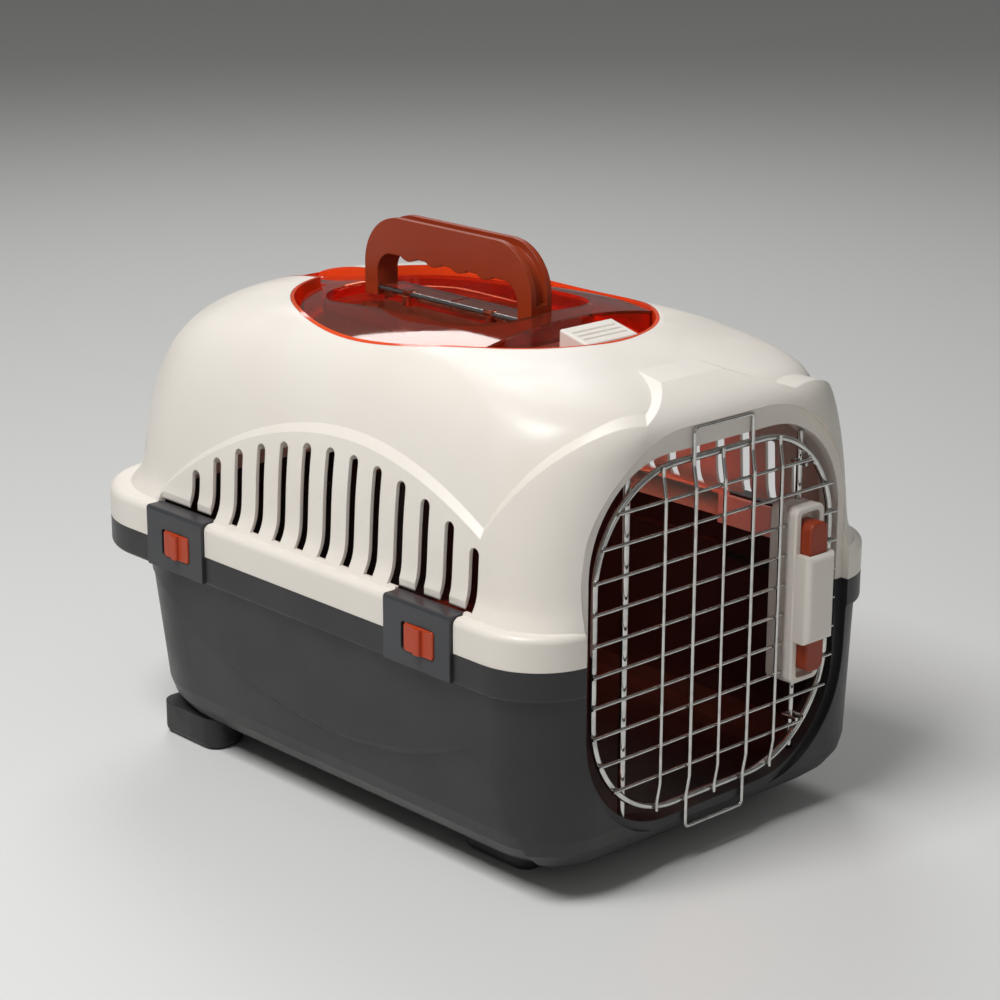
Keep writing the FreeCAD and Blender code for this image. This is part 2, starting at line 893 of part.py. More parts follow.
def panel_pocket(sign):
    """Thins an arch panel to the wall thickness from inside."""
    foot = S.top_flange_height - 1
    bend = foot + POCKET_LOW_STEPS * S.flare_height
    rest = foot + S.pocket_height - bend
    heights = [foot + S.flare_height * step for step in range(POCKET_LOW_STEPS)]
    heights += [bend + rest * step / POCKET_HIGH_STEPS for step in range(POCKET_HIGH_STEPS + 1)]
    outer = [(sign * (panel_half(z) - S.wall), z) for z in heights]
    inner = [(sign * (S.arch_face - S.pocket_depth), z) for z in (heights[-1], heights[0])]
    corners = [Vector(x, S.pocket_front, z) for x, z in outer + inner]
    block = prism(Part.makePolygon(corners + corners[:1]), BACK * (S.pocket_rear - S.pocket_front))
    start = Vector(-FAR, S.arch_centre, S.arch_crown - S.arch_radius)
    ledge = S.collar_half - S.arch_face + 2 * S.wall
    return block.common(Part.makeCylinder(S.arch_radius - ledge, 2 * FAR, start, ACROSS))


def top_shell():
    """The cream upper shell."""
    height = S.top_flange_height
    rim = round_flange(flange(0, -S.rim_front, 0, height), height, S.flange_edge_round)
    outer = dome(0).fuse([rim, collar_body().common(top_wave())])
    cavity = dome(S.wall).fuse(flange(S.wall, cavity_front(), -1, height - S.wall))
    shell = outer.cut(cavity).cut([panel_pocket(sign) for sign in SIDES])
    shell = shell.fuse([front_frame(outer, True)] + clip_blocks(0, height - S.wall / 2))
    shell = cut_front(shell, True)
    tools = slot_cutters() + strip_recesses() + clip_recesses(-1, height + S.clip_block_depth)
    tools.append(sky_prism(0, S.frame_floor - S.pocket_depth, FAR))
    tools.append(sky_channel(0, S.frame_floor - S.pocket_depth, FAR))
    shell = shell.cut(tools)
    return shell.fuse([keeper(sign, y) for _, sign, y in clip_places()]).removeSplitter()


# Tub.
KEEL_DRAFT = 0.11
PANEL_DRAFT = 0.035
FRONT_DRAFT = 0.02
REAR_SHARE = 0.3
WALL_STEPS = 4
TURN_ANGLES = (20, 40, 58, 74, 88)
TOP_LAP = 0.6


def tub_height():
    """Height of the tub below its flange."""
    return S.tub_depth - S.base_flange_height


def tub_turn(depth):
    """How far the rounded bottom edge has drawn in at a depth below the flange."""
    curve = max(depth - (tub_height() - S.tub_round), 0.0)
    return S.tub_round - math.sqrt(max(S.tub_round ** 2 - curve ** 2, 0.0))


def tub_depths():
    """Depths of the loft's sections: wide apart on the walls, close on the bottom curve."""
    straight = tub_height() - S.tub_round
    wall_steps = [straight * step / WALL_STEPS for step in range(WALL_STEPS + 1)]
    turn_steps = [straight + S.tub_round * math.sin(math.radians(angle)) for angle in TURN_ANGLES]
    return wall_steps + turn_steps


def tub_body(draft, inset, front):
    """A tub with tapered walls and a rounded bottom edge, drawn in by the inset."""
    wires = []
    scale = (tub_height() - inset) / tub_height()
    lap = -TOP_LAP * S.base_flange_height
    for depth in [lap] + tub_depths():
        taper = max(depth, 0.0)
        turn = tub_turn(taper)
        half = S.tub_half - draft * taper - turn - inset
        rear = S.tub_rear - REAR_SHARE * draft * taper - turn - inset
        z = -S.base_flange_height - depth * scale
        front_at = front + FRONT_DRAFT * taper + turn
        wires.append(plan(z, half, front_at, rear, S.front_round - inset, S.tub_rear_round - inset))
    return Part.makeLoft(wires, True, True)


def base_wave():
    """What stands proud on the tub: the belly panel and the front collar."""
    bottom = -S.tub_depth - 1
    belly = tapered_drum((S.belly_centre, S.belly_radius - S.belly_drop), S.belly_radius, S.belly_face)
    belly = belly.common(slab((-FAR, FAR), (0, FAR), (bottom, 0)))
    side = -S.flange_half
    front = -S.rim_front - S.brow_depth
    corner = Vector(side, S.tub_collar_rear, -S.tub_collar_corner)
    waist = Vector(side, S.tub_collar_waist, -S.tub_collar_waist_drop)
    foot = Vector(side, S.tub_collar_foot, bottom)
    straight = [foot, Vector(side, front, bottom), Vector(side, front, 0), Vector(side, S.tub_collar_rear, 0)]
    lines = Part.makePolygon(straight + [corner])
    outline = Part.Wire([Part.Arc(corner, waist, foot).toShape()] + lines.Edges)
    return belly.fuse(prism(outline, ACROSS * (2 * S.flange_half)))


def base_tub():
    """The dark lower shell."""
    height = S.base_flange_height
    front = -S.rim_front
    rim = round_flange(flange(0, front, -height, 0), -height, S.tub_edge_round)
    panel = tub_body(PANEL_DRAFT, 0, front).common(base_wave())
    outer = tub_body(KEEL_DRAFT, 0, front).fuse([rim, panel])
    cavity = tub_body(KEEL_DRAFT, S.wall, cavity_front())
    cavity = cavity.fuse(flange(S.wall, cavity_front(), S.wall - height, 1))
    shell = outer.cut(cavity)
    shell = shell.fuse([front_frame(outer, False)] + clip_blocks(S.wall / 2 - height, 0))
    shell = cut_front(shell, False)
    tools = clip_recesses(-height - 2, 1)
    for _, sign, y in clip_places():
        reach = S.clip_block_half - S.clip_pin_inset + 1
        start = Vector(sign * (S.flange_half - S.clip_pin_depth), y - reach, -S.clip_pin_drop)
        tools.append(Part.makeCylinder(S.clip_pin_radius + S.running_gap, 2 * reach, start, BACK))
    return shell.cut(tools).removeSplitter()


def feet():
    """Four rounded pads under the tub, shaped to its bottom edge."""
    keel = tub_body(KEEL_DRAFT, -S.weld_gap, -S.rim_front)
    floor = -S.tub_depth - S.foot_height
    pads = []
    for y, outer in ((S.foot_front, S.foot_front_outer), (S.foot_rear, S.foot_rear_outer)):
        along = (y - S.foot_length / 2, y + S.foot_length / 2)
        for sign in SIDES:
            pad_x = span(sign, outer - S.foot_width, outer)
            pad = slab(pad_x, along, (floor, S.foot_rise - S.tub_depth))
            upright = [edge for edge in pad.Edges if edge.BoundBox.ZLength > S.foot_height]
            pad = pad.makeFillet(S.foot_corner, upright)
            lower = [edge for edge in pad.Edges if near(edge.BoundBox.ZMax, floor)]
            pads.append(pad.makeFillet(S.foot_edge, lower).cut(keel))
    return Part.makeCompound(pads)


# Bent wires.
def bent_path(points, radius, closed=False):
    """Straight runs through the points joined by arcs that touch them."""
    count = len(points)
    bends = []
    for index in range(count):
        if not closed and index in (0, count - 1):
            bends.append((points[index], None, points[index]))
            continue
        here = points[index]
        back = (points[index - 1] - here).normalize()
        ahead = (points[(index + 1) % count] - here).normalize()
        half_turn = math.acos(max(-1.0, min(1.0, back.dot(ahead)))) / 2
        reach = radius / math.tan(half_turn)
        middle = (back + ahead).normalize() * (radius / math.sin(half_turn) - radius)
        bends.append((here + back * reach, here + middle, here + ahead * reach))
    edges = []
    for index, (enter, middle, leave) in enumerate(bends):
        if middle is not None:
            edges.append(Part.Arc(enter, middle, leave).toShape())
        if closed or index < count - 1:
            following = bends[(index + 1) % count][0]
            if leave.distanceToPoint(following) > 1e-6:
                edges.append(Part.LineSegment(leave, following).toShape())
    return Part.Wire(Part.__sortEdges__(edges))


def wire_tube(path, radius):
    """A round wire along a path."""
    edge = path.Edges[0]
    start = edge.valueAt(edge.FirstParameter)
    along = edge.tangentAt(edge.FirstParameter)
    section = Part.Wire(Part.makeCircle(radius, start, along))
    return path.makePipeShell([section], True, False)


def ring_edge(x, upper):
    """Height of the ring's centre line at x."""
    if upper:
        return rounded_edge(x, S.ring_half, S.ring_top, S.ring_top_round)
    return -rounded_edge(x, S.ring_half, S.ring_bottom, S.ring_bottom_round)


def ring_reach(z):
    """Half width of the ring's centre line at a height."""
    if z > 0:
        return rounded_edge(z, S.ring_top, S.ring_half, S.ring_top_round)
    return rounded_edge(z, S.ring_bottom, S.ring_half, S.ring_bottom_round)


def door_ring():
    """The heavy wire round the door."""
    wire = rounded_wire(
        S.ring_half, -S.ring_bottom, S.ring_top, S.ring_bottom_round, S.ring_top_round,
        lambda x, z: Vector(x, ring_y(), z),
    )
    return wire_tube(wire, S.ring_radius)


def door_uprights():
    """Three upright wires in front, their ends bent back to the ring."""
    front = S.door_front
    back = ring_y() - S.ring_radius - S.wire_radius - S.weld_gap
    turn = S.wire_past + S.ring_radius
    wires = []
    for x in (-2 * S.bar_pitch, 0, 2 * S.bar_pitch):
        top = ring_edge(x, True)
        low = ring_edge(x, False)
        points = [
            Vector(x, back, top + S.ring_radius), Vector(x, back, top - turn),
            Vector(x, front, top - S.bar_bend), Vector(x, front, low + S.bar_bend),
            Vector(x, back, low + turn), Vector(x, back, low - S.ring_radius),
        ]
        wires.append(wire_tube(bent_path(points, S.bar_bend_round), S.wire_radius))
    return Part.makeCompound(wires)


def door_loop():
    """The closed loop whose ends reach past the ring and stop the door on the rim."""
    front = cross_y() - S.wire_radius - S.loop_radius - S.weld_gap
    back = ring_y() - S.ring_radius - S.loop_radius - S.weld_gap
    turn = S.wire_past + S.ring_radius
    points = []
    for x, order in ((-S.bar_pitch, 1), (S.bar_pitch, -1)):
        top = ring_edge(x, True)
        low = ring_edge(x, False)
        run = [
            Vector(x, back, -S.loop_bottom), Vector(x, back, low + turn),
            Vector(x, front, low + S.bar_bend), Vector(x, front, top - S.bar_bend),
            Vector(x, back, top - turn), Vector(x, back, S.loop_top),
        ]
        points.extend(run[::order])
    return wire_tube(bent_path(points, S.loop_corner, True), S.loop_radius)


CROSS_ROWS = 10
END_ROWS = (0, CROSS_ROWS - 1)


def cross_wires():
    """Ten straight wires between the uprights and the ring; the end rows stop at the bolts."""
    bars = []
    for row in range(CROSS_ROWS):
        half = round(ring_reach(S.cross_top - row * S.cross_pitch), 3)
        left = f"{half} + ring_radius + wire_past"
        right = "bolt_x + wire_past" if row in END_ROWS else left
        start = (f"-({left})", CROSS_Y, f"cross_top - {row} * cross_pitch")
        bars.append(rod(f"cross_{row}", "wire_radius", "x", start, f"{left} + {right}"))
    return group("cross_wires", bars)


def bolt_guides():
    """Two bent wires behind the end rows that keep the bolts in line."""
    front = cross_y() - S.wire_radius
    rear = hinge_y() + S.bolt_radius + S.wire_radius + S.guide_gap
    reach = S.bolt_radius + S.wire_radius + S.guide_gap
    wires = []
    for row, sign in zip(END_ROWS, (-1, 1)):
        z = S.cross_top - row * S.cross_pitch + sign * (2 * S.wire_radius + S.weld_gap)
        left = S.bolt_x - reach
        right = S.bolt_x + reach
        corners = ((left, front), (left, rear), (right, rear), (right, front))
        points = [Vector(x, y, z) for x, y in corners]
        wires.append(wire_tube(bent_path(points, S.guide_bend), S.wire_radius))
    return Part.makeCompound(wires)


def hinge_rod():
    """The upright rod that the door turns on, with its ends in the shells."""
    low = round(opening_edge(S.hinge_x, False), 3)
    high = round(opening_edge(S.hinge_x, True), 3)
    start = ("hinge_x", HINGE_Y, f"{low} - hinge_socket")
    return rod("hinge_rod", "hinge_radius", "z", start, f"{high} - ({low}) + 2 * hinge_socket")


# Door latch.
LATCH_X = ("latch_x - latch_half", "latch_x + latch_half")
LATCH_Z = ("latch_mid - latch_height / 2", "latch_mid + latch_height / 2")
CASE_FRONT = f"{CROSS_Y} - latch_front"
ROOM_REAR = f"{CROSS_Y} - wire_radius - latch_floor"
STEM_FRONT = f"{ROOM_REAR} - stem_lap"
LATCH_ROWS = range(2, 8)
STEM_ROWS = {1: 2, -1: 6}


def along_y(middle, way):
    """True for an edge that runs front to back."""
    return abs(way.y) > 0.9


def wire_grooves(name):
    """Round holes for the cross wires that pass through the latch."""
    grooves = []
    for row in LATCH_ROWS:
        start = ("latch_x - 2 * latch_half", CROSS_Y, f"cross_top - {row} * cross_pitch")
        grooves.append(rod(f"{name}_{row}", "wire_radius + weld_gap", "x", start, "4 * latch_half"))
    return grooves


def stem_room(sign):
    """Height range of the gap between two cross wires that a button's stem moves in."""
    row = STEM_ROWS[sign]
    low = f"cross_top - {row + 1} * cross_pitch + wire_radius + stem_gap"
    high = f"cross_top - {row} * cross_pitch - wire_radius - stem_gap"
    return (low, high)


def stem_middle(sign):
    """Height of a button's stem."""
    return f"cross_top - {STEM_ROWS[sign] + 0.5} * cross_pitch"


def latch_housing():
    """The front of the latch: a rounded case with a bridge over the spring."""
    case = box("case_block", LATCH_X, (CASE_FRONT, CROSS_Y), LATCH_Z)
    case = fillet("case_round", case, S.latch_round, along_y)
    case_front = cross_y() - S.latch_front
    case = fillet("case_soft", case, S.latch_edge_round, lambda middle, way: near(middle.y, case_front))
    bridge_x = ("latch_x - latch_half + bridge_inset", "latch_x + latch_half - bridge_inset")
    bridge_z = ("latch_mid - bridge_half", "latch_mid + bridge_half")
    bridge_y = (f"{CROSS_Y} - bridge_front", f"{CASE_FRONT} + latch_edge_round")
    bridge = box("bridge_block", bridge_x, bridge_y, bridge_z)
    bridge_at = cross_y() - S.bridge_front
    bridge = fillet("bridge_soft", bridge, S.bridge_round, lambda middle, way: near(middle.y, bridge_at))
    whole = fuse("case_whole", [case, bridge])
    room_x = ("latch_x - button_half - button_gap", "latch_x + button_half + button_gap")
    room_y = (f"{CROSS_Y} - button_front - button_gap", ROOM_REAR)
    room_z = (f"{LATCH_Z[0]} + latch_rim", f"{LATCH_Z[1]} - latch_rim")
    room = fillet("room_corners", box("case_room", room_x, room_y, room_z), S.room_round, along_y)
    stem_x = ("bolt_x - stem_half_width - stem_gap", "bolt_x + stem_half_width + stem_gap")
    stems = [
        box(f"case_stem_{name}", stem_x, (f"{STEM_FRONT} - stem_gap", CROSS_Y), stem_room(sign))
        for name, sign in (("up", 1), ("down", -1))
    ]
    return cut("housing", whole, [room] + stems + wire_grooves("case_groove"))


def latch_back():
    """The back of the latch, which clamps the wires and guides the bolts."""
    back = f"{CROSS_Y} + latch_back"
    plate = box("back_block", LATCH_X, (f"{CROSS_Y} + weld_gap", back), LATCH_Z)
    plate = fillet("back_round", plate, S.latch_round, along_y)
    tools = wire_grooves("back_groove")
    stem_x = ("bolt_x - stem_half_width - stem_gap", "bolt_x + stem_half_width + stem_gap")
    for name, sign in (("up", 1), ("down", -1)):
        stem_y = (CROSS_Y, f"{back} - latch_back_wall")
        tools.append(box(f"back_stem_{name}", stem_x, stem_y, stem_room(sign)))
        low = stem_middle(1) if sign > 0 else LATCH_Z[0] + " - latch_rim"
        start = ("bolt_x", HINGE_Y, low)
        tools.append(rod(f"back_bolt_{name}", "bolt_radius + free_gap", "z", start, "latch_height / 2"))
    return cut("back_plate", plate, tools)


def button(name, sign):
    """A push button with a stem that reaches back to its bolt."""
    ends = ("latch_mid + button_inner", "latch_mid + button_outer")
    if sign < 0:
        ends = ("latch_mid - button_outer", "latch_mid - button_inner")
    side = ("latch_x - button_half", "latch_x + button_half")
    pad_y = (f"{CROSS_Y} - button_front", f"{ROOM_REAR} - free_gap")
    outer_z = S.latch_mid + sign * S.button_outer
    front = cross_y() - S.button_front
    pad = fillet(
        f"{name}_round", box(f"{name}_pad", side, pad_y, ends), S.button_round,
        lambda middle, way: along_y(middle, way) and near(middle.z, outer_z),
    )
    pad = fillet(f"{name}_soft", pad, S.button_edge_round, lambda middle, way: near(middle.y, front))
    middle = stem_middle(sign)
    stem_x = ("bolt_x - stem_half_width", "bolt_x + stem_half_width")
    tall = (f"{middle} - stem_half_height", f"{middle} + stem_half_height")
    whole = fuse(f"{name}_whole", [pad, box(f"{name}_stem", stem_x, (STEM_FRONT, HINGE_Y), tall)])
    start = ("bolt_x", HINGE_Y, f"{middle} - 2 * stem_half_height")
    seat = rod(f"{name}_seat", "bolt_radius + weld_gap", "z", start, "4 * stem_half_height")
    return cut(f"{name}_cut", whole, [seat])


def bolt(name, sign):
    """A round bar from a button's stem to just short of the throat wall."""
    edge = round(opening_edge(S.bolt_x, sign > 0), 3)
    middle = stem_middle(sign)
    low, high = f"{middle} - stem_half_height", f"{edge} - bolt_end_gap"
    if sign < 0:
        low, high = f"{edge} + bolt_end_gap", f"{middle} + stem_half_height"
    return rod(name, "bolt_radius", "z", ("bolt_x", HINGE_Y, low), f"({high}) - ({low})")


def latch_spring():
    """The spring between the buttons, hidden in the bridge, as a plain tube."""
    start = ("latch_x", f"{CROSS_Y} - spring_front", "latch_mid - button_inner + free_gap")
    length = "2 * button_inner - 2 * free_gap"
    outer = rod("spring_outer", "spring_radius", "z", start, length)
    inner = rod("spring_inner", "spring_radius - spring_wire", "z", start, length)
    return cut("spring_tube", outer, [inner])


# Side clips.
CLIP_OUTER = "flange_half + clip_proud"
CLIP_BEHIND = f"{CLIP_OUTER} - clip_wall - free_gap"
CLIP_PIN = "flange_half - clip_pin_depth"


def across(sign, inner, outer):
    """A (low, high) pair of expressions on the left or right side."""
    return (inner, outer) if sign > 0 else (f"-({outer})", f"-({inner})")


def along_x(spot, way):
    """True for an edge that runs across the carrier."""
    return abs(way.x) > 0.9


def clip(name, sign, y):
    """A buckle plate with a hooked top, a window for its knob and a hinge barrel."""
    along = (f"{y} - clip_half", f"{y} + clip_half")
    tall = ("-clip_bottom", "clip_top")
    plate = box(f"{name}_plate", across(sign, f"{CLIP_OUTER} - clip_wall", CLIP_OUTER), along, tall)
    strip_x = across(sign, "flange_half - clip_strip_depth", CLIP_OUTER)
    strip = box(f"{name}_strip", strip_x, along, ("clip_top - clip_strip", "clip_top"))
    foot_x = across(sign, CLIP_PIN, f"{CLIP_OUTER} - clip_wall / 2")
    foot = box(f"{name}_foot", foot_x, along, ("-clip_bottom", "clip_foot - clip_pin_drop"))
    pin_x = f"{sign} * ({CLIP_PIN})"
    barrel_start = (pin_x, f"{y} - clip_half", "-clip_pin_drop")
    barrel = rod(f"{name}_barrel", "clip_barrel", "y", barrel_start, "2 * clip_half")
    whole = fuse(f"{name}_whole", [plate, strip, foot, barrel])
    edge_x = sign * (S.flange_half + S.clip_proud)
    whole = fillet(
        f"{name}_round", whole, S.clip_edge_round,
        lambda middle, way: abs(way.y) > 0.9 and near(middle.x, edge_x) and near(middle.z, S.clip_top),
    )
    middle = f"{y} + knob_offset"
    window_y = (f"{middle} - knob_half - free_gap", f"{middle} + knob_half + knob_travel + free_gap")
    window_z = ("-knob_low - free_gap", "knob_high + free_gap")
    window_x = across(sign, f"{CLIP_OUTER} - 2 * clip_wall", f"{CLIP_OUTER} + clip_wall")
    window = box(f"{name}_window", window_x, window_y, window_z)
    window = fillet(f"{name}_corners", window, S.window_round, along_x)
    start = (pin_x, f"{y} - clip_block_half", "-clip_pin_drop")
    hole = rod(f"{name}_hole", "clip_pin_radius + running_gap", "y", start, "2 * clip_block_half")
    return cut(f"{name}_clip", whole, [window, hole])


def knob(name, sign, y):
    """A sliding knob in a clip, with a ridge outside and a locking tongue behind."""
    middle = f"{y} + knob_offset"
    face = box(
        f"{name}_face", across(sign, CLIP_BEHIND, f"{CLIP_OUTER} + knob_proud"),
        (f"{middle} - knob_half", f"{middle} + knob_half"), ("-knob_low", "knob_high"),
    )
    edge_x = sign * (S.flange_half + S.clip_proud + S.knob_proud)
    face = fillet(f"{name}_corners", face, S.knob_corner, along_x)
    face = fillet(f"{name}_soft", face, S.knob_edge_round, lambda spot, way: near(spot.x, edge_x))
    ridge = box(
        f"{name}_ridge", across(sign, CLIP_OUTER, f"{CLIP_OUTER} + ridge_proud"),
        (f"{middle} - ridge_half", f"{middle} + ridge_half"),
        ("knob_edge_round - knob_low", "knob_high - knob_edge_round"),
    )
    ridge_x = sign * (S.flange_half + S.clip_proud + S.ridge_proud)
    ridge = fillet(
        f"{name}_crest", ridge, S.ridge_round,
        lambda spot, way: near(spot.x, ridge_x) and abs(way.z) > 0.9,
    )
    plate = box(
        f"{name}_plate", across(sign, f"{CLIP_BEHIND} - lock_layer", CLIP_BEHIND),
        (f"{middle} - knob_half + 1", f"{middle} + knob_half - 1"),
        ("-knob_low - lock_plate_past", "knob_high + lock_plate_past"),
    )
    tall = ("keeper_low", "keeper_high")
    rear = f"{middle} - lock_tongue_half"
    spacer = box(
        f"{name}_spacer", across(sign, f"{CLIP_BEHIND} - 1.5 * lock_layer", f"{CLIP_BEHIND} - lock_layer"),
        (rear, f"{middle} + lock_tongue_half"), tall,
    )
    tongue_outer = f"{CLIP_BEHIND} - lock_layer - free_gap"
    tongue = box(
        f"{name}_tongue", across(sign, f"{tongue_outer} - lock_layer", tongue_outer),
        (rear, f"{middle} + knob_half + lock_tongue_past"), tall,
    )
    return fuse(f"{name}_knob", [face, ridge, plate, spacer, tongue])


def clip_pins():
    """The four pins that the clips turn on."""
    pins = []
    for name, sign, y in clip_places():
        start = (f"{sign} * ({CLIP_PIN})", f"{y} - clip_block_half + clip_pin_inset", "-clip_pin_drop")
        length = "2 * (clip_block_half - clip_pin_inset)"
        pins.append(rod(f"pin_{name}", "clip_pin_radius", "y", start, length))
    return group("pins", pins)


# Skylight.
LID_TURN = 14.0


def lid_cap(lower):
    """The space under the lid's doubly curved top, moved in by a thickness."""
    half = S.sky_half + S.frame_ledge
    side = S.lid_side_radius - lower
    top = S.lid_top - lower
    edge = top - side + math.sqrt(side ** 2 - half ** 2)
    base = S.frame_floor - S.pocket_depth
    corners = [Vector(half, 0, edge), Vector(half, 0, base), Vector(-half, 0, base), Vector(-half, 0, edge)]
    arc = Part.Arc(corners[-1], Vector(0, 0, top), corners[0]).toShape()
    face = Part.Face(Part.Wire([arc] + Part.makePolygon(corners).Edges))
    face.translate(Vector(0, S.lid_top_y, 0))
    spindle = Vector(0, S.lid_top_y, S.lid_top - S.lid_long_radius)
    face.rotate(spindle, ACROSS, -LID_TURN)
    return face.revolve(spindle, ACROSS, 2 * LID_TURN)


def frame_top():
    """Upper face of the skylight frame's floor."""
    return S.frame_floor + S.frame_wall


def pin_hole():
    """The hole for the lid's hinge pin."""
    start = Vector(-S.sky_half, S.lid_pin_y, S.lid_pin_z)
    return Part.makeCylinder(S.lid_pin_radius + S.running_gap, 2 * S.sky_half, start, ACROSS)


def skylight_frame():
    """The clear frame set in the roof, with a ledge, a front tray and the hinge channel."""
    floor = S.frame_floor
    top = frame_top()
    ring = sky_prism(S.frame_seat, floor, FAR).fuse(sky_channel(S.frame_seat, floor, FAR))
    room = sky_prism(S.frame_wall, top, FAR).fuse(sky_channel(S.frame_wall, top, FAR))
    hole = sky_prism(S.frame_wall + S.frame_ledge, floor - 1, FAR)
    hole = hole.cut(slab((-FAR, FAR), (0, S.lid_front - S.tray_gap), (0, FAR)))
    frame = ring.cut([room, hole]).common(dome(0))
    half = S.catch_stem_half + S.catch_slot_gap
    start = S.catch_front + S.catch_stem_start - S.catch_slot_gap
    end = start + S.catch_stem_length + S.catch_travel + 2 * S.catch_slot_gap
    slot = slab((-half, half), (start, end), (floor - 1, top + 1))
    return frame.cut([slot, pin_hole()]).removeSplitter()


def dish_prism(grow, low):
    """The hollow the handle folds into, larger all round by grow, from a height up."""
    wire = plan(
        low, S.dish_half + grow, S.dish_front - grow, S.dish_rear + grow,
        S.dish_round + grow, S.dish_round + grow,
    )
    return prism(wire, Vector(0, 0, FAR))


def lid_outline(margin, low, front, rear):
    """The lid's plan: the egg without what would meet the frame as the lid swings up."""
    egg = sky_prism(margin, low, FAR)
    moved = egg.copy()
    moved.translate(Vector(0, -S.lid_swing_room, 0))
    return egg.common(moved).common(slab((-FAR, FAR), (front, rear), (0, FAR)))


def lid_platform():
    """The handle's rest pad and the two ears that hold its rod, on the dish's floor."""
    floor = S.dish_floor + S.lid_wall - S.pad_sink
    room = S.handle_leg + S.pad_leg_gap
    pad_y = (S.handle_front + room, S.handle_rear - room)
    pad = slab((S.rod_x + S.pad_gap, S.pad_right), pad_y, (floor, S.pad_top))
    middle = (pad_y[0] + pad_y[1]) / 2
    groove_y = (middle - S.pad_groove_half, middle + S.pad_groove_half)
    pad = pad.cut(slab((S.rod_x, S.pad_right + 1), groove_y, (S.pad_top - S.pad_groove, S.pad_top + 1)))
    half = S.ear_half
    ears = [
        slab((S.rod_x - half, S.rod_x + half), (y - half, y + half), (floor, S.rod_z + half))
        for y in (S.handle_front + S.ear_inset, S.handle_rear - S.ear_inset)
    ]
    return [pad] + ears


def skylight_lid():
    """The clear lid: a domed cap with a dish, a platform and a hinge tongue."""
    low = frame_top() + S.free_gap
    margin = S.frame_wall + S.lid_gap
    cap = lid_cap(0)
    under = lid_cap(S.lid_wall)
    outer = lid_outline(margin, low, S.lid_front, S.lid_rear).common(cap)
    wall = S.lid_wall
    inner = lid_outline(margin + wall, low - 1, S.lid_front + wall, S.lid_rear - wall).common(under)
    lid = outer.cut(inner)
    bowl = dish_prism(wall, S.dish_floor).common(cap)
    lid = lid.fuse(bowl).cut(dish_prism(0, S.dish_floor + wall))
    half = S.sky_channel_half - S.frame_wall - S.lid_gap
    tongue = slab((-half, half), (S.lid_rear - S.lid_tongue_lap, S.lid_pin_y), (0, FAR))
    tongue = tongue.common(cap).cut(under)
    barrel = Part.makeCylinder(S.lid_barrel, 2 * half, Vector(-half, S.lid_pin_y, S.lid_pin_z), ACROSS)
    lid = lid.fuse([tongue, barrel] + lid_platform())
    rod_start = Vector(S.rod_x, S.handle_front, S.rod_z)
    rod_length = S.handle_rear - S.handle_front
    rod_hole = Part.makeCylinder(S.rod_radius + S.running_gap, rod_length, rod_start, BACK)
    nose = S.catch_nose_half + S.catch_window_side
    nose_z = (S.catch_nose_low - S.catch_nose_gap, S.catch_nose_low + S.catch_nose_height + S.catch_nose_gap)
    window = slab((-nose, nose), (S.lid_front - 1, S.lid_front + S.catch_travel), nose_z)
    return lid.cut([pin_hole(), rod_hole, window]).removeSplitter()


def lid_pin():
    """The pin that the lid turns on, held in the frame's channel walls."""
    start = ("free_gap - sky_channel_half", "lid_pin_y", "lid_pin_z")
    return rod("lid_pin", "lid_pin_radius", "x", start, "2 * sky_channel_half - 2 * free_gap")


GRIP_LINES = (0.25, 0.45, 0.65)


def lid_catch():
    """The sliding catch in front of the lid, with grip lines, a nose and a foot under its tray."""
    low = "frame_floor + frame_wall + free_gap"
    block = doc.addObject("Part::Wedge", "catch_block")
    bind(
        block, Xmin="-catch_half", Xmax="catch_half", X2min="-catch_half", X2max="catch_half",
        Ymin="catch_front", Ymax="catch_rear", Zmin=low, Zmax="catch_top - catch_fall",
        Z2min=low, Z2max="catch_top",
    )
    soft = fillet(
        "catch_soft", block, S.catch_round,
        lambda spot, way: spot.z > S.catch_top - S.catch_fall - 0.5 or abs(way.z) > 0.9,
    )
    nose = box(
        "catch_tip", ("-catch_nose_half", "catch_nose_half"),
        ("catch_rear - catch_nose_lap", "catch_rear + catch_nose"),
        ("catch_nose_low", "catch_nose_low + catch_nose_height"),
    )
    start = "catch_front + catch_stem_start"
    end = f"{start} + catch_stem_length"
    stem_x = ("-catch_stem_half", "catch_stem_half")
    stem_z = ("frame_floor - catch_stem_lap", f"{low} + catch_stem_lap")
    stem = box("catch_stem", stem_x, (start, end), stem_z)
    plate = box(
        "catch_plate", ("-catch_plate_half", "catch_plate_half"),
        (f"{start} - catch_plate_past", f"{end} + catch_plate_past"),
        ("frame_floor - catch_plate_drop", "frame_floor - free_gap"),
    )
    whole = fuse("catch_whole", [soft, nose, stem, plate])
    lines = []
    for row, share in enumerate(GRIP_LINES):
        y = f"catch_front + {share} * (catch_rear - catch_front)"
        z = f"catch_top - {1 - share} * catch_fall + grip_line_lift"
        line_start = ("grip_line_inset - catch_half", y, z)
        length = "2 * catch_half - 2 * grip_line_inset"
        lines.append(rod(f"catch_line_{row}", "grip_line_radius", "x", line_start, length))
    return cut("catch", whole, lines)


# Handle.
FINGERS = 4


def handle_block(name):
    """The handle's outer block with its two rounded shoulders."""
    block = box(
        f"{name}_block", ("-handle_half", "handle_half"), ("handle_front", "handle_rear"),
        ("handle_low", "handle_top"),
    )
    return fillet(
        f"{name}_round", block, S.handle_round,
        lambda spot, way: along_x(spot, way) and near(spot.z, S.handle_top),
    )


def handle_inside(name, inset, top, radius, top_z):
    """The space inside the bow, up to a height and with rounded upper corners."""
    room = box(
        f"{name}_room", ("-2 * handle_half", "2 * handle_half"),
        (f"handle_front + {inset}", f"handle_rear - {inset}"), ("handle_low - handle_leg", top),
    )
    return fillet(
        f"{name}_room_round", room, radius,
        lambda spot, way: along_x(spot, way) and near(spot.z, top_z),
    )


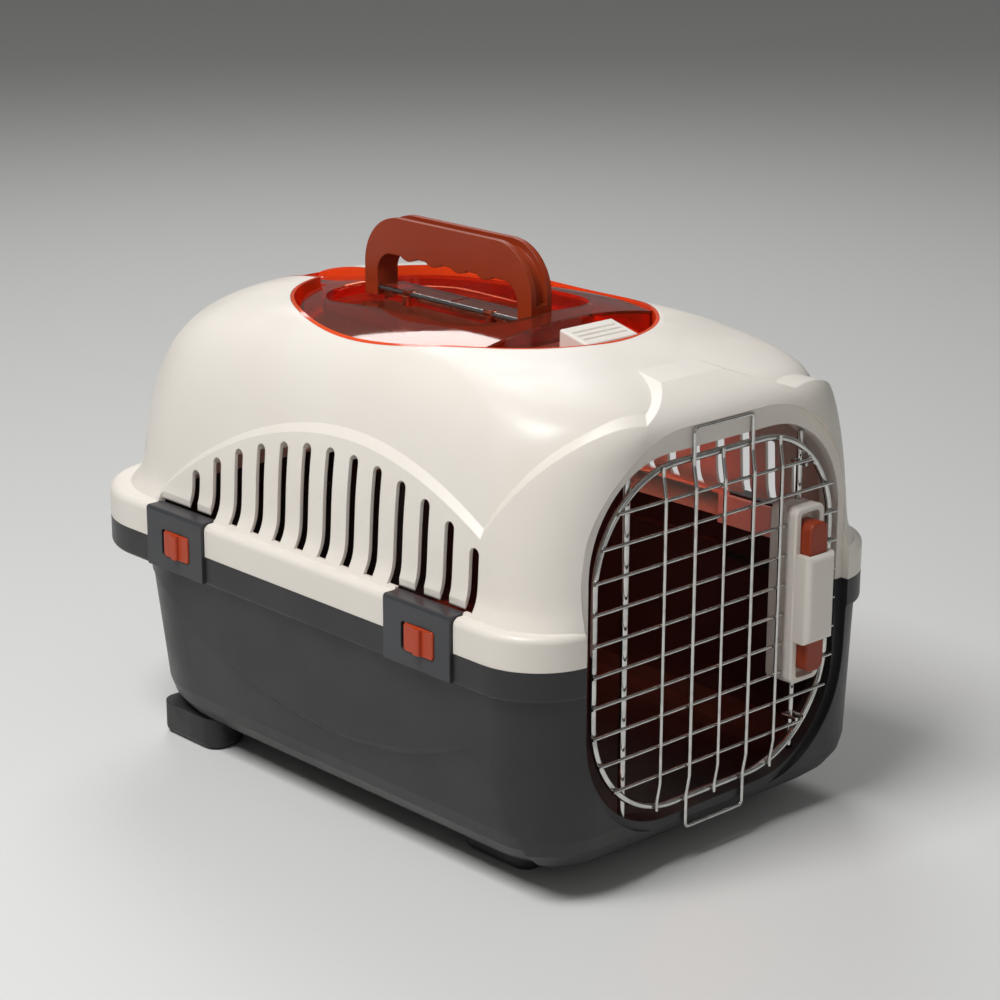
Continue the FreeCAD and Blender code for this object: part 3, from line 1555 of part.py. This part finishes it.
def handle():
    """The folding handle: two legs, a grip with finger waves and a groove along its outside."""
    room = handle_inside("grip", "handle_leg", "grip_low", S.handle_inner_round, S.grip_low)
    bow = cut("grip_bow", handle_block("grip"), [room])
    fingers = []
    for row in range(FINGERS):
        y = f"(handle_front + handle_rear) / 2 + ({row - (FINGERS - 1) / 2}) * finger_pitch"
        start = ("-handle_half", y, "grip_low - finger_drop + finger_radius")
        fingers.append(rod(f"finger_{row}", "finger_radius", "x", start, "2 * handle_half"))
    whole = fuse("grip_whole", [bow] + fingers)
    core_round = S.handle_round - S.handle_groove
    core_top = S.handle_top - S.handle_groove
    core = handle_inside("groove", "handle_groove", "handle_top - handle_groove", core_round, core_top)
    skin = cut("groove_skin", handle_block("groove"), [core])
    lane = box(
        "groove_lane", ("-handle_groove_half", "handle_groove_half"),
        ("handle_front - handle_groove", "handle_rear + handle_groove"),
        ("rod_z + groove_foot", "handle_top + handle_groove"),
    )
    groove = common("groove_tool", skin, lane)
    start = ("rod_x", "handle_front + rod_inset", "rod_z")
    length = "handle_rear - handle_front - 2 * rod_inset"
    hole = rod("grip_hole", "rod_radius + running_gap", "y", start, length)
    return cut("grip", whole, [groove, hole])


def handle_rod():
    """The rod that the handle turns on, through the lid's ears."""
    start = ("rod_x", "handle_front + rod_inset + free_gap", "rod_z")
    length = "handle_rear - handle_front - 2 * rod_inset - 2 * free_gap"
    return rod("grip_rod", "rod_radius", "y", start, length)


def check_and_write():
    """Stop on any failed object, then write one file per sub-part."""
    doc.recompute()
    for item in doc.Objects:
        if "Invalid" in item.State or "Error" in item.State:
            raise RuntimeError(f"{item.Name} is {item.State}")
    for item in PARTS:
        if item.Shape.isNull() or not item.Shape.isValid():
            raise RuntimeError(f"{item.Label} has no valid shape")
    os.makedirs("parts", exist_ok=True)
    for item in PARTS:
        item.Shape.exportStep(f"parts/{item.Label}.step")
        print(f"{item.Label}: {len(item.Shape.Solids)} solid(s), {item.Shape.Volume / 1000:.1f} cm3")


fill_sheet()
publish_shape("top_shell", top_shell())
publish_shape("base_tub", base_tub())
publish_shape("feet", feet())
publish_shape("skylight_frame", skylight_frame())
publish_shape("skylight_lid", skylight_lid())
publish("lid_hinge_pin", lid_pin())
publish("lid_latch", lid_catch())
publish("handle", handle())
publish("handle_rod", handle_rod())
publish_shape("door_ring", door_ring())
publish("door_cross_wires", cross_wires())
publish_shape("door_upright_wires", door_uprights())
publish_shape("door_stop_loop", door_loop())
publish("door_hinge_rod", hinge_rod())
publish_shape("door_bolt_guides", bolt_guides())
publish("latch_housing", latch_housing())
publish("latch_back_plate", latch_back())
publish("upper_button", button("upper", 1))
publish("lower_button", button("lower", -1))
publish("upper_bolt", bolt("upper_bar", 1))
publish("lower_bolt", bolt("lower_bar", -1))
publish("latch_spring", latch_spring())
publish("clip_pins", clip_pins())
for place_name, side_sign, middle_y in clip_places():
    publish(f"clip_{place_name}", clip(f"c_{place_name}", side_sign, middle_y))
    publish(f"knob_{place_name}", knob(f"k_{place_name}", side_sign, middle_y))
check_and_write()
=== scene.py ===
"""Looks of the hard pet carrier: moulded shells, tinted roof lid, plated wire door and clips."""
import math

import bpy
from mathutils import Matrix, Vector

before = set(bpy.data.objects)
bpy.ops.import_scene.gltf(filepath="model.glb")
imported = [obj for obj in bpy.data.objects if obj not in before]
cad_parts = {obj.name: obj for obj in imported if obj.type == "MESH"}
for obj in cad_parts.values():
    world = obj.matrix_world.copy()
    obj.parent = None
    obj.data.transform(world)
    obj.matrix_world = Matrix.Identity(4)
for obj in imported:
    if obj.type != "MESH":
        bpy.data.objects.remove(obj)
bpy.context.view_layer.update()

# Colours, written as they look under plain light (red, green, blue from 0 to 255).
CREAM = (229, 223, 214)
CREAM_SHADE = (225, 218, 208)
CHARCOAL = (42, 42, 43)
CHARCOAL_SHADE = (39, 39, 40)
CLIP_GREY = (60, 61, 64)
CLIP_SHADE = (53, 54, 57)
KNOB_ORANGE = (180, 62, 22)
KNOB_SHADE = (168, 54, 18)
HANDLE_BROWN = (152, 56, 22)
HANDLE_SHADE = (142, 49, 18)
FRAME_RED = (242, 92, 36)
FRAME_SHADE = (236, 84, 32)
LID_BROWN = (220, 132, 102)
LID_SHADE = (212, 124, 94)
FOOT_BLACK = (40, 40, 41)
FOOT_SHADE = (30, 30, 31)
DUST = (150, 146, 138)
CHROME = (214, 214, 210)
CHROME_SHADE = (186, 186, 184)
STEEL = (168, 168, 166)
STEEL_SHADE = (134, 134, 134)
FLOOR = (218, 218, 216)

# Scales of surface detail: about how many patches or grains lie in a metre.
SHADE_CLOUD_SCALE = 9.0
RUBBED_PATCH_SCALE = 26.0
DUST_PATCH_SCALE = 45.0
DULL_SPOT_SCALE = 120.0
CLEAR_HAZE_SCALE = 300.0
PEBBLE_SCALE = 900.0
DRAWING_MARK_SCALE = 1600.0

# Depths and lengths of surface detail, in metres.
PEBBLE_DEPTH = 0.0004
CLEAR_HAZE_DEPTH = 0.0002
DRAWING_MARK_DEPTH = 0.0002
SOFT_EDGE = 0.0009
DUST_TOP = 0.09

# How strongly the surface detail shows in the highlights.
CLEAR_HAZE_BUMP = 0.04
DRAWING_MARK_BUMP = 0.05

# How strongly each plastic bends light.
SHELL_REFRACTION = 1.47
CLEAR_REFRACTION = 1.49


def linear(colour):
    """A written colour as the linear value that shader sockets take, by the usual screen curve."""
    shares = [channel / 255 for channel in colour]
    return tuple(c / 12.92 if c <= 0.04045 else ((c + 0.055) / 1.055) ** 2.4 for c in shares) + (1.0,)


# Places of the colour sockets on a Mix node, after those for numbers and vectors.
MIX_FIRST_COLOUR = 6
MIX_SECOND_COLOUR = 7
MIX_COLOUR_RESULT = 2


# Shared effects as node groups.
def new_group(name, inputs, outputs):
    """An empty shader node group with its sockets and its two end nodes."""
    group = bpy.data.node_groups.new(name, "ShaderNodeTree")
    for label, kind, value in inputs:
        socket = group.interface.new_socket(label, in_out="INPUT", socket_type=kind)
        socket.default_value = value
    for label, kind in outputs:
        group.interface.new_socket(label, in_out="OUTPUT", socket_type=kind)
    start = group.nodes.new("NodeGroupInput")
    end = group.nodes.new("NodeGroupOutput")
    return group, start, end


def feed(tree, value, socket):
    """Set a socket to a number or a colour, or link another socket to it."""
    if isinstance(value, (int, float, tuple)):
        socket.default_value = value
    else:
        tree.links.new(value, socket)


def noise(group, vector, scale, detail):
    """A noise texture fed by a vector socket."""
    node = group.nodes.new("ShaderNodeTexNoise")
    node.inputs["Detail"].default_value = detail
    feed(group, scale, node.inputs["Scale"])
    feed(group, vector, node.inputs["Vector"])
    return node.outputs["Fac"]


def maths(group, operation, first, second):
    """A maths node; each operand is a socket or a number."""
    node = group.nodes.new("ShaderNodeMath")
    node.operation = operation
    feed(group, first, node.inputs[0])
    feed(group, second, node.inputs[1])
    return node.outputs[0]


def blend_colour(tree, share, first, second):
    """A colour between two, by a share socket."""
    node = tree.nodes.new("ShaderNodeMix")
    node.data_type = "RGBA"
    feed(tree, share, node.inputs["Factor"])
    feed(tree, first, node.inputs[MIX_FIRST_COLOUR])
    feed(tree, second, node.inputs[MIX_SECOND_COLOUR])
    return node.outputs[MIX_COLOUR_RESULT]


def spread(group, value, low, high):
    """The stretch of a value from low to high as a share from 0 to 1, clamped."""
    node = group.nodes.new("ShaderNodeMapRange")
    node.inputs["From Min"].default_value = low
    node.inputs["From Max"].default_value = high
    feed(group, value, node.inputs["Value"])
    return node.outputs["Result"]


def between(group, share, low, high):
    """A number between two sockets, by a share socket."""
    span = maths(group, "SUBTRACT", high, low)
    return maths(group, "ADD", low, maths(group, "MULTIPLY", span, share))


def object_place(group):
    """The place on the carrier, in metres."""
    return group.nodes.new("ShaderNodeTexCoord").outputs["Object"]


def moulded_skin_group():
    """Moulded plastic: slow shade changes, fine pebble grain and rubbed patches."""
    group, start, end = new_group(
        "moulded_skin",
        [
            ("Colour", "NodeSocketColor", (0.5, 0.5, 0.5, 1.0)),
            ("Shade", "NodeSocketColor", (0.4, 0.4, 0.4, 1.0)),
            ("Gloss Roughness", "NodeSocketFloat", 0.35),
            ("Matt Roughness", "NodeSocketFloat", 0.5),
            ("Grain Scale", "NodeSocketFloat", PEBBLE_SCALE),
        ],
        [("Colour", "NodeSocketColor"), ("Roughness", "NodeSocketFloat"), ("Height", "NodeSocketFloat")],
    )
    given = start.outputs
    place = object_place(group)
    cloud = spread(group, noise(group, place, SHADE_CLOUD_SCALE, detail=3.0), low=0.35, high=0.7)
    feed(group, blend_colour(group, cloud, given["Colour"], given["Shade"]), end.inputs["Colour"])
    rubbed = spread(group, noise(group, place, RUBBED_PATCH_SCALE, detail=5.0), low=0.4, high=0.65)
    rough = between(group, rubbed, given["Gloss Roughness"], given["Matt Roughness"])
    feed(group, rough, end.inputs["Roughness"])
    feed(group, noise(group, place, given["Grain Scale"], detail=2.0), end.inputs["Height"])
    return group


def settled_dust_group():
    """Dust that gathers low down and in broken patches, as a mask."""
    group, start, end = new_group(
        "settled_dust",
        [("Top Height", "NodeSocketFloat", DUST_TOP), ("Amount", "NodeSocketFloat", 0.3)],
        [("Mask", "NodeSocketFloat")],
    )
    place = object_place(group)
    parts = group.nodes.new("ShaderNodeSeparateXYZ")
    feed(group, place, parts.inputs[0])
    climb = maths(group, "DIVIDE", parts.outputs["Z"], start.outputs["Top Height"])
    fade = maths(group, "SUBTRACT", 1.0, climb)
    fade.node.use_clamp = True
    patches = spread(group, noise(group, place, DUST_PATCH_SCALE, detail=6.0), low=0.42, high=0.68)
    mask = maths(group, "MULTIPLY", maths(group, "MULTIPLY", fade, patches), start.outputs["Amount"])
    feed(group, mask, end.inputs["Mask"])
    return group


def drawn_metal_group():
    """Plated wire: faint drawing marks, dull spots and a small shade change."""
    group, start, end = new_group(
        "drawn_metal",
        [
            ("Colour", "NodeSocketColor", (0.8, 0.8, 0.8, 1.0)),
            ("Shade", "NodeSocketColor", (0.6, 0.6, 0.6, 1.0)),
            ("Bright Roughness", "NodeSocketFloat", 0.12),
            ("Dull Roughness", "NodeSocketFloat", 0.32),
        ],
        [("Colour", "NodeSocketColor"), ("Roughness", "NodeSocketFloat"), ("Height", "NodeSocketFloat")],
    )
    given = start.outputs
    place = object_place(group)
    spots = spread(group, noise(group, place, DULL_SPOT_SCALE, detail=4.0), low=0.45, high=0.72)
    feed(group, blend_colour(group, spots, given["Colour"], given["Shade"]), end.inputs["Colour"])
    rough = between(group, spots, given["Bright Roughness"], given["Dull Roughness"])
    feed(group, rough, end.inputs["Roughness"])
    feed(group, noise(group, place, DRAWING_MARK_SCALE, detail=2.0), end.inputs["Height"])
    return group


MOULDED_SKIN = moulded_skin_group()
SETTLED_DUST = settled_dust_group()
DRAWN_METAL = drawn_metal_group()


# Materials.
def new_material(name):
    """A material with its Principled shader; returns the material and the shader."""
    material = bpy.data.materials.new(name)
    material.use_nodes = True
    shader = material.node_tree.nodes["Principled BSDF"]
    return material, shader


def use_group(material, group, values):
    """Place a shared effect in a material with its own values."""
    node = material.node_tree.nodes.new("ShaderNodeGroup")
    node.node_tree = group
    for label, value in values.items():
        node.inputs[label].default_value = value
    return node


def add_bump(material, shader, height, strength, depth, edge=0.0):
    """Feed a height into the shader's normal; an edge radius, if given, softens sharp edges first."""
    tree = material.node_tree
    bump = tree.nodes.new("ShaderNodeBump")
    if edge:
        bevel = tree.nodes.new("ShaderNodeBevel")
        bevel.inputs["Radius"].default_value = edge
        tree.links.new(bevel.outputs["Normal"], bump.inputs["Normal"])
    bump.inputs["Strength"].default_value = strength
    bump.inputs["Distance"].default_value = depth
    tree.links.new(height, bump.inputs["Height"])
    tree.links.new(bump.outputs["Normal"], shader.inputs["Normal"])


def moulded_plastic(name, colour, shade, gloss, matt, bump=0.12, dust=0.0):
    """Satin moulded plastic with grain, rubbed patches and settled dust near the floor."""
    material, shader = new_material(name)
    tree = material.node_tree
    skin = use_group(material, MOULDED_SKIN, {
        "Colour": linear(colour),
        "Shade": linear(shade),
        "Gloss Roughness": gloss,
        "Matt Roughness": matt,
        "Grain Scale": PEBBLE_SCALE,
    })
    paint = skin.outputs["Colour"]
    if dust:
        layer = use_group(material, SETTLED_DUST, {"Top Height": DUST_TOP, "Amount": dust})
        paint = blend_colour(tree, layer.outputs["Mask"], paint, linear(DUST))
    tree.links.new(paint, shader.inputs["Base Color"])
    tree.links.new(skin.outputs["Roughness"], shader.inputs["Roughness"])
    shader.inputs["IOR"].default_value = SHELL_REFRACTION
    add_bump(material, shader, skin.outputs["Height"], bump, PEBBLE_DEPTH, SOFT_EDGE)
    return material


def pass_light(material, shader, tint):
    """Let lamp light through clear plastic as tinted light, so that it reaches the inside."""
    tree = material.node_tree
    rays = tree.nodes.new("ShaderNodeLightPath")
    through = tree.nodes.new("ShaderNodeBsdfTransparent")
    through.inputs["Color"].default_value = tint
    mix = tree.nodes.new("ShaderNodeMixShader")
    tree.links.new(rays.outputs["Is Shadow Ray"], mix.inputs["Fac"])
    tree.links.new(shader.outputs["BSDF"], mix.inputs[1])
    tree.links.new(through.outputs["BSDF"], mix.inputs[2])
    tree.links.new(mix.outputs["Shader"], tree.nodes["Material Output"].inputs["Surface"])


def tinted_clear(name, colour, shade, gloss, matt, clearness):
    """Clear tinted plastic with faint moulding haze."""
    material, shader = new_material(name)
    tree = material.node_tree
    skin = use_group(material, MOULDED_SKIN, {
        "Colour": linear(colour),
        "Shade": linear(shade),
        "Gloss Roughness": gloss,
        "Matt Roughness": matt,
        "Grain Scale": CLEAR_HAZE_SCALE,
    })
    tree.links.new(skin.outputs["Colour"], shader.inputs["Base Color"])
    tree.links.new(skin.outputs["Roughness"], shader.inputs["Roughness"])
    shader.inputs["IOR"].default_value = CLEAR_REFRACTION
    shader.inputs["Transmission Weight"].default_value = clearness
    add_bump(material, shader, skin.outputs["Height"], CLEAR_HAZE_BUMP, CLEAR_HAZE_DEPTH)
    pass_light(material, shader, linear(colour))
    return material


def plated_metal(name, colour, shade, bright, dull):
    """Bright wire or plain steel with drawing marks and dull spots."""
    material, shader = new_material(name)
    tree = material.node_tree
    drawn = use_group(material, DRAWN_METAL, {
        "Colour": linear(colour),
        "Shade": linear(shade),
        "Bright Roughness": bright,
        "Dull Roughness": dull,
    })
    tree.links.new(drawn.outputs["Colour"], shader.inputs["Base Color"])
    tree.links.new(drawn.outputs["Roughness"], shader.inputs["Roughness"])
    shader.inputs["Metallic"].default_value = 1.0
    add_bump(material, shader, drawn.outputs["Height"], DRAWING_MARK_BUMP, DRAWING_MARK_DEPTH)
    return material


cream_shell = moulded_plastic("cream_shell", CREAM, CREAM_SHADE, gloss=0.34, matt=0.46, bump=0.08)
charcoal_tub = moulded_plastic(
    "charcoal_tub", CHARCOAL, CHARCOAL_SHADE, gloss=0.38, matt=0.46, bump=0.1, dust=0.04
)
clip_plastic = moulded_plastic("clip_plastic", CLIP_GREY, CLIP_SHADE, gloss=0.32, matt=0.44)
knob_plastic = moulded_plastic("knob_plastic", KNOB_ORANGE, KNOB_SHADE, gloss=0.3, matt=0.42)
handle_plastic = moulded_plastic("handle_plastic", HANDLE_BROWN, HANDLE_SHADE, gloss=0.36, matt=0.46)
foot_plastic = moulded_plastic("foot_plastic", FOOT_BLACK, FOOT_SHADE, gloss=0.5, matt=0.65, dust=0.06)
frame_clear = tinted_clear("frame_clear", FRAME_RED, FRAME_SHADE, gloss=0.1, matt=0.18, clearness=0.3)
lid_clear = tinted_clear("lid_clear", LID_BROWN, LID_SHADE, gloss=0.02, matt=0.06, clearness=0.95)
chrome_wire = plated_metal("chrome_wire", CHROME, CHROME_SHADE, bright=0.1, dull=0.28)
plain_steel = plated_metal("plain_steel", STEEL, STEEL_SHADE, bright=0.22, dull=0.42)

# Finishes by node; clips and knobs go by the start of their names, and the rest is bright wire.
NODE_FINISH = {
    "top_shell": cream_shell,
    "base_tub": charcoal_tub,
    "feet": foot_plastic,
    "skylight_frame": frame_clear,
    "skylight_lid": lid_clear,
    "lid_latch": cream_shell,
    "handle": handle_plastic,
    "latch_housing": cream_shell,
    "latch_back_plate": cream_shell,
    "upper_button": handle_plastic,
    "lower_button": handle_plastic,
    "handle_rod": plain_steel,
    "lid_hinge_pin": plain_steel,
    "latch_spring": plain_steel,
    "clip_pins": plain_steel,
}


def finish_for(node):
    """The material of a CAD node, by its name."""
    if node.startswith("clip_") and node != "clip_pins":
        return clip_plastic
    if node.startswith("knob_"):
        return knob_plastic
    return NODE_FINISH.get(node, chrome_wire)


def dress_nodes():
    """Give every carried-over CAD node its finish."""
    for name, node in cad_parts.items():
        node.data.materials.clear()
        node.data.materials.append(finish_for(name))


# Studio: lamps are placed in metres and their power is in watts.
FLOOR_HALF = 12.0
FLOOR_ROUGHNESS = 0.6
LIGHT_TARGET = (0, 0, 0.15)
KEY_PLACE = (-1.2, -0.1, 2.2)
KEY_SIZE = 1.0
KEY_POWER = 51
BEHIND_PLACE = (1.15, 1.55, 1.9)
BEHIND_SIZE = 1.0
BEHIND_POWER = 15
FILL_PLACE = (-0.6, -2.6, 1.2)
FILL_SIZE = 1.6
FILL_POWER = 4
SURROUND_GREY = (0.5, 0.5, 0.5, 1)
SURROUND_STRENGTH = 0.29

# The viewpoint, in metres, and the picture that it was fitted to, in pixels.
CAMERA_PLACE = Vector((-1.1241, -1.2306, 0.6971))
CAMERA_LOOK = Vector((0.651, 0.699, -0.2955))
CAMERA_ROLL = math.radians(0.19)
FOCAL_PIXELS = 2600
IMAGE_PIXELS = 1000
SENSOR = 36.0


def add_floor():
    """A wide pale floor under the carrier."""
    half = FLOOR_HALF
    mesh = bpy.data.meshes.new("floor")
    corners = [(-half, -half, 0), (half, -half, 0), (half, half, 0), (-half, half, 0)]
    mesh.from_pydata(corners, [], [(0, 1, 2, 3)])
    floor = bpy.data.objects.new("floor", mesh)
    bpy.context.scene.collection.objects.link(floor)
    material, shader = new_material("studio_floor")
    shader.inputs["Base Color"].default_value = linear(FLOOR)
    shader.inputs["Roughness"].default_value = FLOOR_ROUGHNESS
    mesh.materials.append(material)


def add_softbox(name, place, size, power):
    """A square area lamp that points at the carrier."""
    lamp = bpy.data.lights.new(name, "AREA")
    lamp.size = size
    lamp.energy = power
    item = bpy.data.objects.new(name, lamp)
    item.location = place
    item.rotation_mode = "QUATERNION"
    item.rotation_quaternion = (Vector(LIGHT_TARGET) - item.location).to_track_quat("-Z", "Y")
    bpy.context.scene.collection.objects.link(item)


def add_light():
    """A lamp above and to the left, one behind for the lid's glare, a weak front fill and a grey surround."""
    add_softbox("key", KEY_PLACE, KEY_SIZE, KEY_POWER)
    add_softbox("behind", BEHIND_PLACE, BEHIND_SIZE, BEHIND_POWER)
    add_softbox("fill", FILL_PLACE, FILL_SIZE, FILL_POWER)
    world = bpy.data.worlds.new("surround")
    world.use_nodes = True
    surround = world.node_tree.nodes["Background"]
    surround.inputs["Color"].default_value = SURROUND_GREY
    surround.inputs["Strength"].default_value = SURROUND_STRENGTH
    bpy.context.scene.world = world


def add_camera():
    """The viewpoint that was fitted to the photograph."""
    data = bpy.data.cameras.new("camera")
    data.sensor_width = SENSOR
    data.lens = FOCAL_PIXELS * SENSOR / IMAGE_PIXELS
    camera = bpy.data.objects.new("camera", data)
    camera.location = CAMERA_PLACE
    camera.rotation_mode = "QUATERNION"
    turn = CAMERA_LOOK.to_track_quat("-Z", "Y").to_matrix().to_4x4()
    camera.rotation_quaternion = (turn @ Matrix.Rotation(CAMERA_ROLL, 4, "Z")).to_quaternion()
    bpy.context.scene.collection.objects.link(camera)
    bpy.context.scene.camera = camera


dress_nodes()
add_floor()
add_light()
add_camera()
bpy.context.scene.view_settings.view_transform = "Standard"
